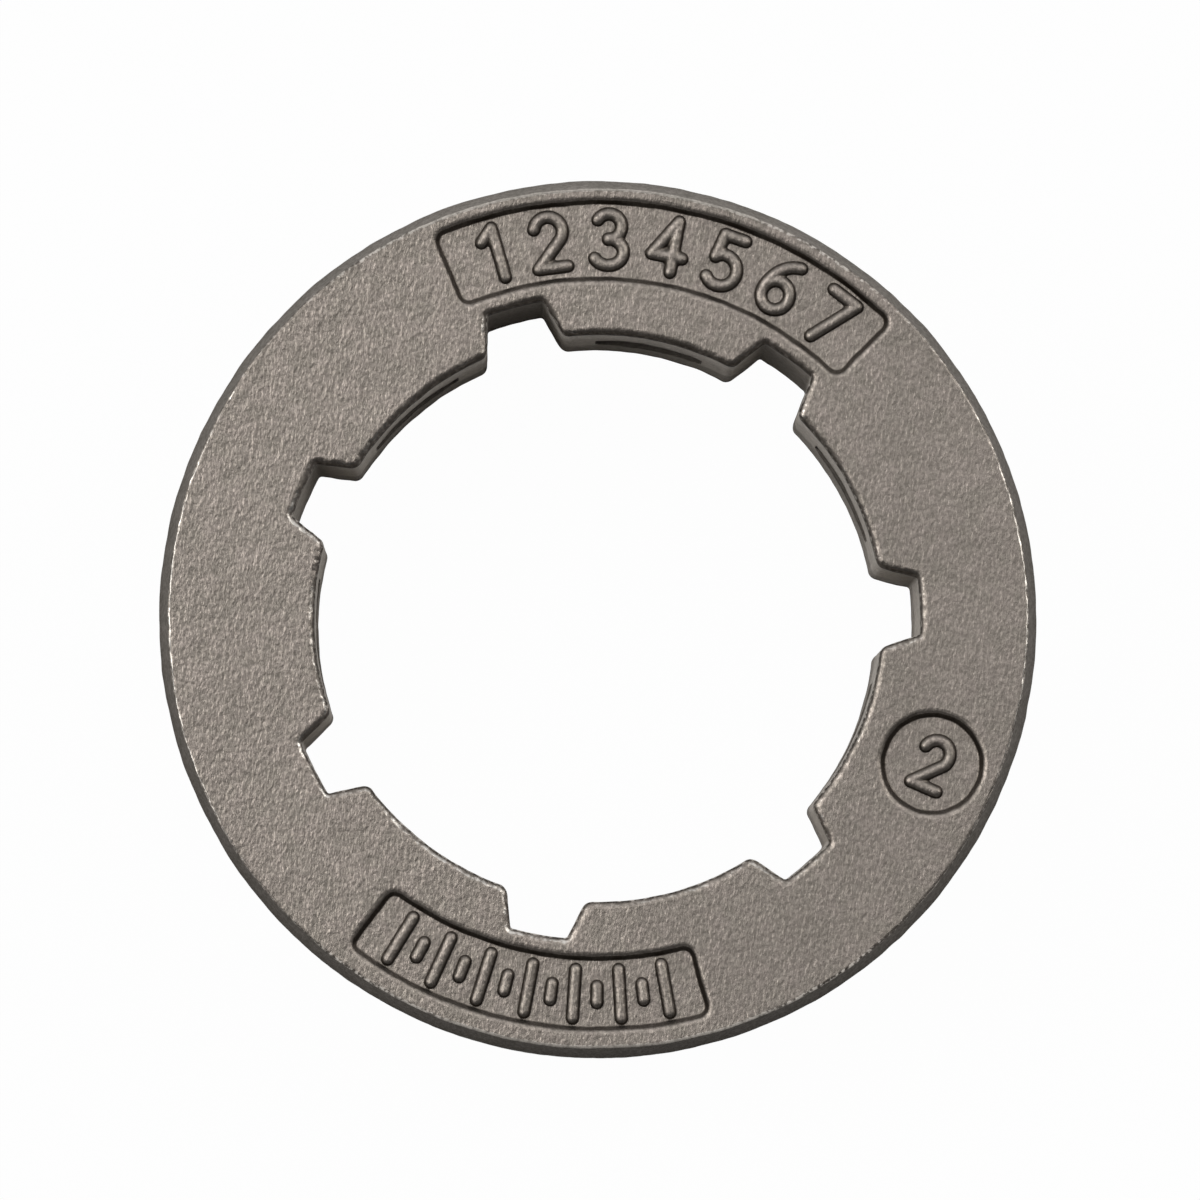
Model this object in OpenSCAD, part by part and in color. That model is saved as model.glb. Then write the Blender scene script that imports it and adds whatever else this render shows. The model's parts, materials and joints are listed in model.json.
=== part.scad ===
// Rim sprocket for a saw chain, cast in one piece: two flanges carry the chain's straps,
// a toothed wheel between them takes the drive links, and a splined bore slides on a drum's hub.
// Millimetres. The bore's axis is Z, the plain face lies on Z = 0 and the marked face is on top.

/* [Rim] */
// Diameter over the flanges, where the chain's straps ride
outer_d = 34.4; // [32:0.1:40]
// Thickness from face to face
thickness = 12; // [9:0.1:16]
// Width of the bevel round each face, seen along the axis
bevel_w = 0.38; // [0.1:0.01:0.8]
// Height of the same bevel along the axis
bevel_h = 1.2; // [0.2:0.1:2]

/* [Chain groove] */
// Width of the groove between the flanges
groove_w = 2.4; // [1.6:0.1:3.5]
// Lead-in chamfer at the mouth of the groove
groove_lead = 0.45; // [0.1:0.05:0.8]
// Number of teeth
tooth_count = 7; // [6:1:8]
// How far the tooth tips lie below the rim
tip_drop = 0.8; // [0.2:0.1:2]
// Rounding of the corners of a tooth tip
tip_round = 0.7; // [0.2:0.1:1]
// Radius of the round valley between two teeth
valley_r = 3.3; // [2.5:0.1:4]
// How far the floor of a valley breaks into the bore, which opens a window in each land
window_depth = 0.8; // [0.3:0.1:1.2]
// Slope of a tooth flank from the middle line of its valley, in degrees
flank_slope = 29; // [15:1:35]

/* [Splined bore] */
// Diameter across the lands
land_d = 22.2; // [20:0.1:24]
// Number of notches
notch_count = 7; // [6:1:8]
// Depth of a notch behind the lands
notch_depth = 1.5; // [0.8:0.02:2]
// Width of a notch at its floor
notch_floor_w = 2.26; // [1.5:0.02:3]
// Slope of a notch flank from the middle line of its notch, in degrees
notch_slope = 16; // [5:1:25]
// Rounding of the land's corners at a notch
land_round = 0.4; // [0.1:0.05:0.6]
// Rounding of the corners of a notch floor
floor_round = 0.16; // [0.05:0.01:0.4]
// Break of the edges round both mouths of the bore
mouth_break = 0.16; // [0.05:0.01:0.3]

/* [Marking recesses] */
// Depth of the recesses in the marked face
recess_depth = 0.25; // [0.1:0.05:0.6]
// Rounding of a panel's corners
panel_round = 0.43; // [0.1:0.01:0.8]
// Flat left between the panels and the notch floors
panel_inner_rim = 0.68; // [0.3:0.05:1]
// Angle that the long panel spans, in degrees
long_panel_span = 68; // [30:1:100]
// Flat left between the long panel and the bevel
long_panel_rim = 0.5; // [0.2:0.02:1]
// Angle that the short panel spans, in degrees
short_panel_span = 53; // [20:1:100]
// Flat left between the short panel and the bevel
short_panel_rim = 0.74; // [0.2:0.02:1]
// Diameter of the round mark's recess
mark_d = 3.9; // [2:0.1:4.5]
// Flat left between the round mark and the bevel
mark_rim = 0.62; // [0.2:0.02:1]

/* [Hidden] */
// Smoothness of the round faces
$fn = 128;

// Straight pieces that each small round is drawn with
ROUND_STEPS = 6;
// How far an outline crosses a round face that it runs into, so that the two meet in a clean edge
CROSSING = 0.02;
// How far a cut runs past the face that it opens
OVERCUT = 1;
// Depth to which the toothed wheel is rooted in each flange
ROOTING = 0.5;

rim_r = outer_d / 2;
face_r = rim_r - bevel_w;
land_r = land_d / 2;
notch_r = land_r + notch_depth;
// Blank left inside the lands before the bore is cut
blank_r = land_r - 2 * OVERCUT;

groove_low = (thickness - groove_w) / 2;
tip_r = rim_r - tip_drop;
// Middle of a valley's round
valley_at = land_r - window_depth + valley_r;

notch_step = 360 / notch_count;
tooth_step = 360 / tooth_count;
// One notch points down the short panel's middle line, and each tooth stands behind a notch
first_notch = 270;
first_valley = first_notch + tooth_step / 2;
long_panel_at = 90;
short_panel_at = 270;
// The round mark sits on the middle of the land that follows the second notch
mark_at = first_notch + 1.5 * notch_step;
panel_inner_r = notch_r + panel_inner_rim;
// Where a notch flank would meet its floor if the corner were sharp, in a notch along +X
floor_corner = [sqrt(notch_r * notch_r - notch_floor_w * notch_floor_w / 4), notch_floor_w / 2];

// A point at an angle and a distance
function polar(a, r) = r * [cos(a), sin(a)];

// The same points on the other side of the X axis, in reverse order
function mirrored(points) = [for (i = [len(points) - 1:-1:0]) [points[i].x, -points[i].y]];

// Points along an arc, from its first step to its last
function arc(centre, r, from, to, first = 0, last = ROUND_STEPS) =
    [for (i = [first:last]) centre + polar(from + (to - from) * i / ROUND_STEPS, r)];

// Where a line from point p along direction d first gets to the distance r from the axis, going in or out
function reach(p, d, r, outward) =
    let (along = p * d, root = sqrt(along * along - p * p + r * r))
    p + d * (outward ? root - along : -root - along);

// One notch along +X, from inside the bore to its floor and back
function notch_outline() =
    let (
        s = notch_slope,
        inward = [-cos(s), sin(s)],
        to_metal = [sin(s), cos(s)],
        land_mid = reach(floor_corner + land_round * to_metal, inward, land_r + land_round, false),
        land_angle = atan2(land_mid.y, land_mid.x),
        floor_mid = reach(floor_corner - floor_round * to_metal, inward, notch_r - floor_round, false),
        floor_angle = atan2(floor_mid.y, floor_mid.x),
        half = concat(
            arc([0, 0], notch_r, 0, floor_angle),
            arc(floor_mid, floor_round, floor_angle, 90 - s),
            arc(land_mid, land_round, 270 - s, 180 + land_angle, last = ROUND_STEPS - 1),
            [polar(land_angle, land_r - CROSSING), polar(land_angle, blank_r)]
        )
    )
    concat(mirrored(half), half);

// One valley along +X: its flanks run out from the round and fall away over the tooth tips
function valley_outline() =
    let (
        s = flank_slope,
        outward = [cos(s), sin(s)],
        to_metal = [-sin(s), cos(s)],
        foot = [valley_at, 0] + (valley_r - CROSSING) * to_metal,
        tip_mid = reach(foot + tip_round * to_metal, outward, tip_r - tip_round, true),
        tip_angle = atan2(tip_mid.y, tip_mid.x),
        half = concat(
            [foot],
            arc(tip_mid, tip_round, s - 90, tip_angle, last = ROUND_STEPS - 1),
            [polar(tip_angle, tip_r + CROSSING), polar(tip_angle, rim_r + OVERCUT)]
        )
    )
    concat(mirrored(half), half);

// A panel about +X with rounded corners, open past its inner and outer arcs
function panel_outline(outer_r, span) =
    let (
        half_span = span / 2,
        q = panel_round,
        inner_at = half_span - asin(q / (panel_inner_r + q)),
        outer_at = half_span - asin(q / (outer_r - q)),
        far_r = (outer_r + OVERCUT) / cos(half_span),
        half = concat(
            [polar(inner_at, panel_inner_r - CROSSING)],
            arc(polar(inner_at, panel_inner_r + q), q, inner_at + 180, half_span + 90, first = 1),
            arc(polar(outer_at, outer_r - q), q, half_span + 90, outer_at, last = ROUND_STEPS - 1),
            [polar(outer_at, outer_r + CROSSING), polar(outer_at, far_r)]
        )
    )
    concat(half, mirrored(half));

// One flange with its bevel and the lead-in of the groove, its outer face on Z = 0
module flange() {
    rotate_extrude()
        polygon([
            [blank_r, 0],
            [face_r, 0],
            [rim_r, bevel_h],
            [rim_r, groove_low - groove_lead],
            [rim_r - groove_lead, groove_low],
            [blank_r, groove_low]
        ]);
}

// The wheel that stands between the flanges, with a valley for each drive link
module toothed_wheel() {
    translate([0, 0, groove_low - ROOTING])
        linear_extrude(groove_w + 2 * ROOTING)
            difference() {
                circle(tip_r);
                circle(blank_r);
                for (i = [0:tooth_count - 1])
                    rotate(first_valley + i * tooth_step) {
                        translate([valley_at, 0]) circle(valley_r);
                        polygon(valley_outline());
                    }
            }
}

// The bore with its notches, right through
module splined_bore() {
    translate([0, 0, -OVERCUT])
        linear_extrude(thickness + 2 * OVERCUT) {
            circle(land_r);
            for (i = [0:notch_count - 1])
                rotate(first_notch + i * notch_step) polygon(notch_outline());
        }
}

// A cone that breaks a round edge of the bore at 45 degrees, with the face on Z = 0 and the metal below
module round_break(r) {
    translate([0, 0, -2 * mouth_break])
        cylinder(
            r1 = r - mouth_break,
            r2 = r + mouth_break + OVERCUT,
            h = 2 * mouth_break + OVERCUT
        );
}

// The open side of a notch flank, sloped out over the metal at the face
module flank_break() {
    across = 2 * (notch_floor_w + notch_depth);
    translate(floor_corner)
        rotate(90 - notch_slope)
            rotate([90, 0, 0])
                linear_extrude(4 * (notch_depth + OVERCUT), center = true)
                    polygon([
                        [-mouth_break, -2 * mouth_break],
                        [mouth_break + OVERCUT, OVERCUT],
                        [-across, OVERCUT],
                        [-across, -2 * mouth_break]
                    ]);
}

// The broken edge of the bore and its notches, with the face on Z = 0 and the metal below
module mouth_edges() {
    round_break(land_r);
    for (i = [0:notch_count - 1])
        rotate(first_notch + i * notch_step)
            intersection() {
                round_break(notch_r);
                flank_break();
                mirror([0, 1, 0]) flank_break();
            }
}

// A recessed panel along the marked face
module panel_recess(at, span, rim) {
    outer_r = face_r - rim;
    translate([0, 0, thickness - recess_depth])
        linear_extrude(recess_depth + OVERCUT)
            rotate(at)
                intersection() {
                    difference() {
                        circle(outer_r);
                        circle(panel_inner_r);
                    }
                    polygon(panel_outline(outer_r, span));
                }
}

// The round recess that holds a single mark
module mark_recess() {
    rotate(mark_at)
        translate([face_r - mark_rim - mark_d / 2, 0, thickness - recess_depth])
            cylinder(d = mark_d, h = recess_depth + OVERCUT);
}

// The whole casting
module rim_sprocket() {
    color([0.55, 0.52, 0.48])
        difference() {
            union() {
                flange();
                translate([0, 0, thickness]) mirror([0, 0, 1]) flange();
                toothed_wheel();
            }
            splined_bore();
            translate([0, 0, thickness]) mouth_edges();
            mirror([0, 0, 1]) mouth_edges();
            panel_recess(long_panel_at, long_panel_span, long_panel_rim);
            panel_recess(short_panel_at, short_panel_span, short_panel_rim);
            mark_recess();
        }
}

rim_sprocket();
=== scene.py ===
"""A rim sprocket for a saw chain, dressed as the fine casting it is and set out in a small studio."""

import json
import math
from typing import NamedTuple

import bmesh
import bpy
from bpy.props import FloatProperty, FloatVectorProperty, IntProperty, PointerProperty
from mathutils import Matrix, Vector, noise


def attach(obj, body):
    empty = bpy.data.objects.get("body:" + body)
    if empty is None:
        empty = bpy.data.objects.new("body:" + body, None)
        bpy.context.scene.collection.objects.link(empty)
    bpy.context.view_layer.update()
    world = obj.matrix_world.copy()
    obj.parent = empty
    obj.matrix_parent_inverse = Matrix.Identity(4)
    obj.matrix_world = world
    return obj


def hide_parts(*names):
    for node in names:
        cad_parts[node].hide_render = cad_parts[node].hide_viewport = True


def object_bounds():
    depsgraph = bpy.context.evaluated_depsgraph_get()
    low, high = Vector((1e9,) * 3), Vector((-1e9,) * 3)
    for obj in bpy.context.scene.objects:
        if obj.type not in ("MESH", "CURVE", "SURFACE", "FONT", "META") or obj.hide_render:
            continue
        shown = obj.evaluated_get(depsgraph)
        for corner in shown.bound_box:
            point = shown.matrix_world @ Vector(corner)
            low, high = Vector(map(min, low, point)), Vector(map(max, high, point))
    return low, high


bl_info = {
    "name": "Rim Sprocket",
    "version": (1, 0, 0),
    "blender": (4, 5, 0),
    "location": "View3D > Sidebar > Sprocket",
    "description": "Builds a cast rim sprocket with its edges, marks and finish, and a studio round it",
    "category": "Add Mesh",
}

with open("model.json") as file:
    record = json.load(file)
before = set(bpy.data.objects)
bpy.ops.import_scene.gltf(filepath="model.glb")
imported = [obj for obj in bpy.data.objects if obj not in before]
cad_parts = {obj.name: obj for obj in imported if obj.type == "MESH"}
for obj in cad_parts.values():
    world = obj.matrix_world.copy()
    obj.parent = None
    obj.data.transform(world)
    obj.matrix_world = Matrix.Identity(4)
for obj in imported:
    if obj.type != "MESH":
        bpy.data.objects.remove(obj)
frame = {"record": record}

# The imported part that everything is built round
CAD_BOX = [list(corner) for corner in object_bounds()]
CAD_NODE = "rim_sprocket"
CAD_BODY = "root"

MM = 0.001
OUTER_D = (CAD_BOX[1][0] - CAD_BOX[0][0]) / MM
THICKNESS = (CAD_BOX[1][2] - CAD_BOX[0][2]) / MM
MOUNTS = {mount["name"]: mount for mount in frame["record"]["mounts"]}
LAND_R = MOUNTS["spline_bore"]["dims"]["r_mm"]

ORIGIN = Vector((0, 0))
OVER = Vector((0, 0, 1))
QUARTER = math.pi / 2
# Two spots nearer than this are one and the same
TOUCHING = 1e-7

# Pieces that the stretches of outlines, walls and strokes are drawn with
EDGE_STEPS = 6
CORNER_STEPS = 6
FLOOR_STEPS = 8
FLANK_STEPS = 10
LAND_STEPS = 24
WINDOW_STEPS = 32
VALLEY_STEPS = 14
TIP_STEPS = 10
RIM_STEPS = 600
MARK_STEPS = 96
PANEL_ARC_STEPS = 72
PANEL_END_STEPS = 14
WALL_STEPS = 4
TOOTH_STEPS = 3
PEN_STEPS = 20
STROKE_SIDES = 12
CAP_STEPS = 5


def length(label, text, millimetres):
    """A length that can be changed, given here in millimetres and kept in metres."""
    return FloatProperty(name=label, description=text, default=millimetres * MM, precision=5, unit="LENGTH")


def angle(label, text, degrees):
    """An angle that can be changed, given here in degrees and kept in radians."""
    return FloatProperty(name=label, description=text, default=math.radians(degrees), subtype="ANGLE")


def colour(label, text, shade):
    """A colour that can be changed, as linear red, green and blue."""
    return FloatVectorProperty(name=label, description=text, default=shade, min=0, max=1, subtype="COLOR")


def share(label, text, value):
    """A share from none to all that can be changed."""
    return FloatProperty(name=label, description=text, default=value, min=0, max=1, subtype="FACTOR")


def level(label, text, value):
    """A plain strength that can be changed."""
    return FloatProperty(name=label, description=text, default=value, min=0)


class RimSizes(bpy.types.PropertyGroup):
    """The flanges that the chain's straps ride on."""

    outer_d: length("Outer diameter", "Diameter over the flanges", OUTER_D)
    thickness: length("Thickness", "Thickness from face to face", THICKNESS)
    bevel_w: length("Bevel width", "Width of the bevel round each face, along the face", 0.38)
    bevel_h: length("Bevel height", "Height of the bevel along the axis", 1.2)
    edge_round: length("Edge round", "Radius where a face turns over into its bevel", 0.1)
    shoulder_round: length("Shoulder round", "Radius where the bevel turns over into the rim", 0.9)


class GrooveSizes(bpy.types.PropertyGroup):
    """The groove between the flanges, with the teeth that drive the chain."""

    width: length("Width", "Width of the groove", 2.4)
    lead: length("Lead-in", "Chamfer at the mouth of the groove", 0.45)
    lead_round: length("Lead-in round", "Radius of the chamfer's two edges", 0.16)
    tip_drop: length("Tip drop", "How far the tooth tips lie below the rim", 0.8)
    tip_round: length("Tip round", "Radius of the corners of a tooth tip", 0.7)
    valley_r: length("Valley radius", "Radius of the valley between two teeth", 3.3)
    window_depth: length("Window depth", "How far a valley's floor breaks into the bore", 0.8)
    window_round: length("Window round", "Radius of the long edges of a window", 0.16)
    root_round: length("Root round", "Radius of the upright edges of a window", 0.1)
    flank_slope: angle("Flank slope", "Slope of a tooth flank from the middle of its valley", 29)


class BoreSizes(bpy.types.PropertyGroup):
    """The splined bore that slides on a hub."""

    land_r: length("Land radius", "Radius of the lands", LAND_R)
    count: IntProperty(name="Count", description="Number of notches and teeth", default=7, min=3)
    first_at: angle("First notch", "Direction of the first notch", 270)
    notch_depth: length("Notch depth", "Depth of a notch behind the lands", 1.5)
    notch_floor_w: length("Notch floor", "Width of a notch at its floor", 2.26)
    notch_slope: angle("Notch slope", "Slope of a notch flank from the middle of its notch", 16)
    land_round: length("Land round", "Radius of a land's corners", 0.4)
    floor_round: length("Floor round", "Radius of the corners of a notch floor", 0.16)
    mouth_round: length("Mouth round", "Radius of the edge round both mouths of the bore", 0.25)


class RecessSizes(bpy.types.PropertyGroup):
    """The shallow recesses in the marked face."""

    depth: length("Depth", "Depth of the recesses", 0.25)
    draft: length("Draft", "How far a recess wall leans out from its foot to its lip", 0.2)
    lip_round: length("Lip round", "Radius of a recess's upper edge", 0.24)
    foot_round: length("Foot round", "Radius where a recess wall meets its floor", 0.09)
    panel_round: length("Panel round", "Radius of a panel's corners", 0.43)
    inner_rim: length("Inner rim", "Flat between the panels and the notch floors", 0.68)
    long_at: angle("Long panel", "Direction of the long panel's middle", 90)
    long_span: angle("Long span", "Angle that the long panel covers", 68)
    long_rim: length("Long rim", "Flat between the long panel and the bevel", 0.5)
    short_at: angle("Short panel", "Direction of the short panel's middle", 270)
    short_span: angle("Short span", "Angle that the short panel covers", 53)
    short_rim: length("Short rim", "Flat between the short panel and the bevel", 0.74)
    mark_d: length("Round mark", "Diameter of the round recess", 3.9)
    mark_rim: length("Round rim", "Flat between the round recess and the bevel", 0.62)


class MarkSizes(bpy.types.PropertyGroup):
    """The raised marks that stand in the recesses."""

    number_h: length("Number height", "Height of the numbers in the long panel", 2.0)
    number_step: angle("Number step", "Angle from one number to the next", 9)
    tick_h: length("Tick length", "Length of the long ticks in the short panel", 1.9)
    tick_step: angle("Tick step", "Angle from one long tick to the next", 7)
    mould_h: length("Mould number", "Height of the number in the round recess", 1.9)
    stroke_w: length("Stroke width", "Width of a raised stroke at its foot", 0.56)
    relief: length("Relief", "Height of a stroke above the recess floor", 0.24)
    melt: length("Melt", "Size of the detail that the mould lets through", 0.045)


class CastFinish(bpy.types.PropertyGroup):
    """The blasted steel surface."""

    face_colour: colour("Face", "Blasted steel of the flat faces", (0.195, 0.169, 0.1442))
    skin_colour: colour("Skin", "Dull cast skin left on the walls and bevels", (0.45, 0.41, 0.362))
    # Burnish: the brighter colour of rubbed edges, part real wear and part painted highlight
    burnish_and_highlight_colour: colour("Burnish And Highlight", "Bright metal on rubbed edges", (0.4, 0.37, 0.33))
    # Painted shade: the dark colour that corners, walls, the groove and the feet of marks are mixed towards
    grime_colour: colour("Painted Shade", "Dark residue in corners and on walls", (0.02, 0.0145, 0.0095))
    grain: length("Grain", "Size of a grain of the blasted surface", 0.28)
    grain_depth: length("Grain depth", "Depth of the blasted grain", 0.046)
    grain_fall: length("Grain fall", "Length over which the grain gets shallower", 24)
    grain_at: angle("Grain side", "Direction of the side with the deepest grain", 190.7)
    # Direction that the walls with the most painted shade face
    grime_at: angle("Painted shade side", "Direction that the grimiest walls of a recess face", 280.7)
    # Direction of the stretch of the outer band with the most painted shade
    band_shade_at: angle("Band side", "Direction of the grimiest stretch of the outer band", 260.7)
    # Direction that the mouth edges with the most painted highlight face
    painted_highlight_at: angle("Painted highlight side", "Direction that the most rubbed mouth edges face", 50.7)
    roughness: share("Roughness", "Roughness of the blasted faces", 0.44)
    drift: length("Drift", "How far the casting's edges wander", 0.045)
    drift_wave: length("Drift wave", "Length over which they wander", 1.4)
    nick: length("Nick", "Depth of the nicks along worn edges", 0.12)
    nick_wave: length("Nick wave", "Length of a nick", 0.24)


class StudioSettings(bpy.types.PropertyGroup):
    """The floor, the light and the camera."""

    floor_w: length("Floor", "Width of the floor", 4000)
    floor_colour: colour("Floor colour", "Pale floor", (0.36, 0.36, 0.36))
    floor_white: share("Floor white", "How much of the floor shows as plain white", 0.98)
    sky_colour: colour("Sky", "Soft light from overhead and the sides", (0.92, 0.95, 1.0))
    shade_colour: colour("Shade", "Unlit side of the room, in front of the part", (0.03, 0.03, 0.032))
    sky_slant: share("Sky slant", "How much fuller than the other side the sky's full side is", 0.86)
    sky_turn: angle("Sky turn", "How far the full side is turned up the picture from the left", 45)
    sky_low: share("Low sky", "Light from low down on either side, as a share of that from overhead", 0.5)
    sky_back: share("Back light", "Light from low down behind the part", 0.4)
    sky_front: share("Front light", "Light from low down in front of the part", 0.7)
    key_w: length("Key lamp", "Width of the lamp on the left", 350)
    key_power: level("Key power", "Power of the lamp on the left", 2.2)
    side_w: length("Side lamp", "Width of the lamp on the right", 300)
    side_power: level("Side power", "Power of the lamp on the right", 1.7)
    lamp_distance: length("Lamp distance", "Distance from the part to either lamp", 700)
    picture_up: angle("Picture up", "Direction on the part that points up in the picture", 100.7)
    lean: angle("Lean", "How far the camera leans to the lower edge of the picture", 1.94)
    lean_left: angle("Lean left", "How far the camera leans to the left", 0.38)
    distance: length("Distance", "Distance from the marked face to the camera", 520)
    lens: level("Lens", "Focal length in millimetres", 400)
    aim_up: length("Aim up", "How far above the part's middle the camera aims", 0.7)
    aim_right: length("Aim right", "How far to the right of it the camera aims", 0.07)


class SprocketSettings(bpy.types.PropertyGroup):
    """Everything about the sprocket that can be changed."""

    rim: PointerProperty(type=RimSizes)
    groove: PointerProperty(type=GrooveSizes)
    bore: PointerProperty(type=BoreSizes)
    recess: PointerProperty(type=RecessSizes)
    marks: PointerProperty(type=MarkSizes)
    finish: PointerProperty(type=CastFinish)
    studio: PointerProperty(type=StudioSettings)


# Outlines, seen along the axis

class Spot(NamedTuple):
    """A place on an outline, and the direction from it that leads into the metal."""

    place: Vector
    metal: Vector


def polar(turn, radius=1.0):
    """The point at an angle and a distance from the axis."""
    return Vector((math.cos(turn), math.sin(turn))) * radius


def angle_of(point):
    """The angle at which a point lies."""
    return math.atan2(point.y, point.x)


def arc(centre, radius, start, end, steps, metal_outside=True):
    """Spots along an arc."""
    side = 1 if metal_outside else -1
    rays = [polar(start + (end - start) * i / steps) for i in range(steps + 1)]
    return [Spot(centre + ray * radius, ray * side) for ray in rays]


def line(start, end, metal, steps):
    """Spots along a straight stretch."""
    return [Spot(start.lerp(end, i / steps), metal) for i in range(steps + 1)]


def reach(point, along, radius, outward):
    """Where a line from the point first gets to the distance from the axis, going in or out."""
    part = point.dot(along)
    root = math.sqrt(part * part - point.dot(point) + radius * radius)
    return point + along * (root - part if outward else -root - part)


def turned(spots, turn):
    """The same spots, turned about the axis."""
    spin = Matrix.Rotation(turn, 2)
    return [Spot(spin @ spot.place, spin @ spot.metal) for spot in spots]


def mirrored(spots):
    """The same spots on the other side of the X axis, in reverse order."""
    flip = Matrix(((1, 0), (0, -1)))
    return [Spot(flip @ spot.place, flip @ spot.metal) for spot in reversed(spots)]


def joined(*runs):
    """Runs of spots as one, without the first spot of a run where it repeats the last one before."""
    spots = list(runs[0])
    for run in runs[1:]:
        repeats = (run[0].place - spots[-1].place).length < TOUCHING
        spots += run[1:] if repeats else run
    return spots


class Layout:
    """The heights, radii and angles that the outlines share."""

    def __init__(self, settings):
        rim = settings.rim
        groove = settings.groove
        bore = settings.bore
        self.rim_r = rim.outer_d / 2
        self.face_r = self.rim_r - rim.bevel_w
        # Where a face starts to turn over into its bevel
        self.edge_r = self.face_r - rim.edge_round
        self.top = rim.thickness
        self.groove_low = (rim.thickness - groove.width) / 2
        self.groove_high = (rim.thickness + groove.width) / 2
        self.notch_r = bore.land_r + bore.notch_depth
        self.half_step = math.pi / bore.count
        self.notches = [bore.first_at + 2 * self.half_step * i for i in range(bore.count)]
        self.valley_at = bore.land_r - groove.window_depth + groove.valley_r
        self.root_mid = self.find_root_mid(groove, bore)
        # Half of the angle that a window covers
        self.window_half = angle_of(self.root_mid)
        self.panel_inner_r = self.notch_r + settings.recess.inner_rim
        self.recess_floor = self.top - settings.recess.depth

    def row_r(self, rim):
        """The middle of a panel between its two arcs, with the flat left outside it."""
        return (self.panel_inner_r + self.face_r - rim) / 2

    def find_root_mid(self, groove, bore):
        """The middle of the round at a window's upright edge, for a valley along +X."""
        from_axis = bore.land_r + groove.root_round
        from_valley = groove.valley_r + groove.root_round
        across = (self.valley_at ** 2 + from_axis ** 2 - from_valley ** 2) / (2 * self.valley_at)
        return Vector((across, math.sqrt(from_axis ** 2 - across ** 2)))


def notch_half(bore, layout):
    """Half of a notch along +X and the land beside it, from the middle of its floor to the window."""
    slope = bore.notch_slope
    into_bore = Vector((-math.cos(slope), math.sin(slope)))
    into_metal = Vector((math.sin(slope), math.cos(slope)))
    half_w = bore.notch_floor_w / 2
    corner = Vector((math.sqrt(layout.notch_r ** 2 - half_w ** 2), half_w))
    land_start = corner + into_metal * bore.land_round
    land_mid = reach(land_start, into_bore, bore.land_r + bore.land_round, False)
    floor_start = corner - into_metal * bore.floor_round
    floor_mid = reach(floor_start, into_bore, layout.notch_r - bore.floor_round, False)
    land_turn = angle_of(land_mid)
    floor_turn = angle_of(floor_mid)
    flank_start = floor_mid + into_metal * bore.floor_round
    flank_end = land_mid - into_metal * bore.land_round
    return joined(
        arc(ORIGIN, layout.notch_r, 0, floor_turn, FLOOR_STEPS),
        arc(floor_mid, bore.floor_round, floor_turn, QUARTER - slope, CORNER_STEPS),
        line(flank_start, flank_end, into_metal, FLANK_STEPS),
        arc(land_mid, bore.land_round, 3 * QUARTER - slope, math.pi + land_turn, CORNER_STEPS, False),
        arc(ORIGIN, bore.land_r, land_turn, layout.half_step - layout.window_half, LAND_STEPS),
    )


def tooth_half(groove, layout):
    """Half of the tooth that stands behind a notch along +X, from the middle of its tip to the window."""
    slope = groove.flank_slope
    tip_r = layout.rim_r - groove.tip_drop
    valley = Vector((layout.valley_at, 0))
    outward = Vector((math.cos(slope), math.sin(slope)))
    into_metal = Vector((-math.sin(slope), math.cos(slope)))
    flank_start = valley + into_metal * groove.valley_r
    tip_mid = reach(flank_start + into_metal * groove.tip_round, outward, tip_r - groove.tip_round, True)
    tip_turn = angle_of(tip_mid)
    root_mid = layout.root_mid
    to_valley = angle_of(valley - root_mid)
    beside_valley = joined(
        arc(root_mid, groove.root_round, layout.window_half - math.pi, to_valley, CORNER_STEPS, False),
        arc(valley, groove.valley_r, to_valley + math.pi, QUARTER + slope, VALLEY_STEPS),
        line(flank_start, tip_mid - into_metal * groove.tip_round, into_metal, FLANK_STEPS),
        arc(tip_mid, groove.tip_round, slope - QUARTER, tip_turn, CORNER_STEPS, False),
        arc(ORIGIN, tip_r, tip_turn, layout.half_step, TIP_STEPS, False),
    )
    return turned(mirrored(beside_valley), layout.half_step)


def window_run(bore, layout):
    """The land's stretch over a window, centred on +X, without its two ends."""
    half = layout.window_half
    return arc(ORIGIN, bore.land_r, -half, half, WINDOW_STEPS)[1:-1]


def panel_outline(recess, layout, at, span, rim):
    """A recessed panel: two arcs about the axis, two radial ends and rounded corners."""
    half = span / 2
    corner_r = recess.panel_round
    inner_r = layout.panel_inner_r
    outer_r = layout.face_r - rim
    inner_turn = half - math.asin(corner_r / (inner_r + corner_r))
    outer_turn = half - math.asin(corner_r / (outer_r - corner_r))
    inner_mid = polar(inner_turn, inner_r + corner_r)
    outer_mid = polar(outer_turn, outer_r - corner_r)
    across = polar(half + QUARTER)
    inner_arc = arc(ORIGIN, inner_r, 0, inner_turn, PANEL_ARC_STEPS // 2, False)
    outer_arc = arc(ORIGIN, outer_r, outer_turn, 0, PANEL_ARC_STEPS // 2)
    end = line(inner_mid + across * corner_r, outer_mid + across * corner_r, across, PANEL_END_STEPS)
    one_side = joined(
        inner_arc,
        arc(inner_mid, corner_r, inner_turn + math.pi, half + QUARTER, CORNER_STEPS),
        end,
        arc(outer_mid, corner_r, half + QUARTER, outer_turn, CORNER_STEPS),
        outer_arc,
    )
    other_side = mirrored(one_side)
    return turned(one_side[:-1] + other_side[:-1], at)


def mark_spot(recess, layout):
    """The middle of the round recess, on the middle of the land after the second notch."""
    at = layout.notches[1] + layout.half_step
    return polar(at, layout.face_r - recess.mark_rim - recess.mark_d / 2)


# Profiles, seen in a cut through the metal

class Corner(NamedTuple):
    """A corner of a profile: its place and round, how worn it is with its painted highlight, how much
    painted shade it has, and how much cast skin covers it.
    """

    inset: float
    height: float
    radius: float = 0.0
    wear: float = 0.0
    grime: float = 0.0
    skin: float = 1.0


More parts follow.
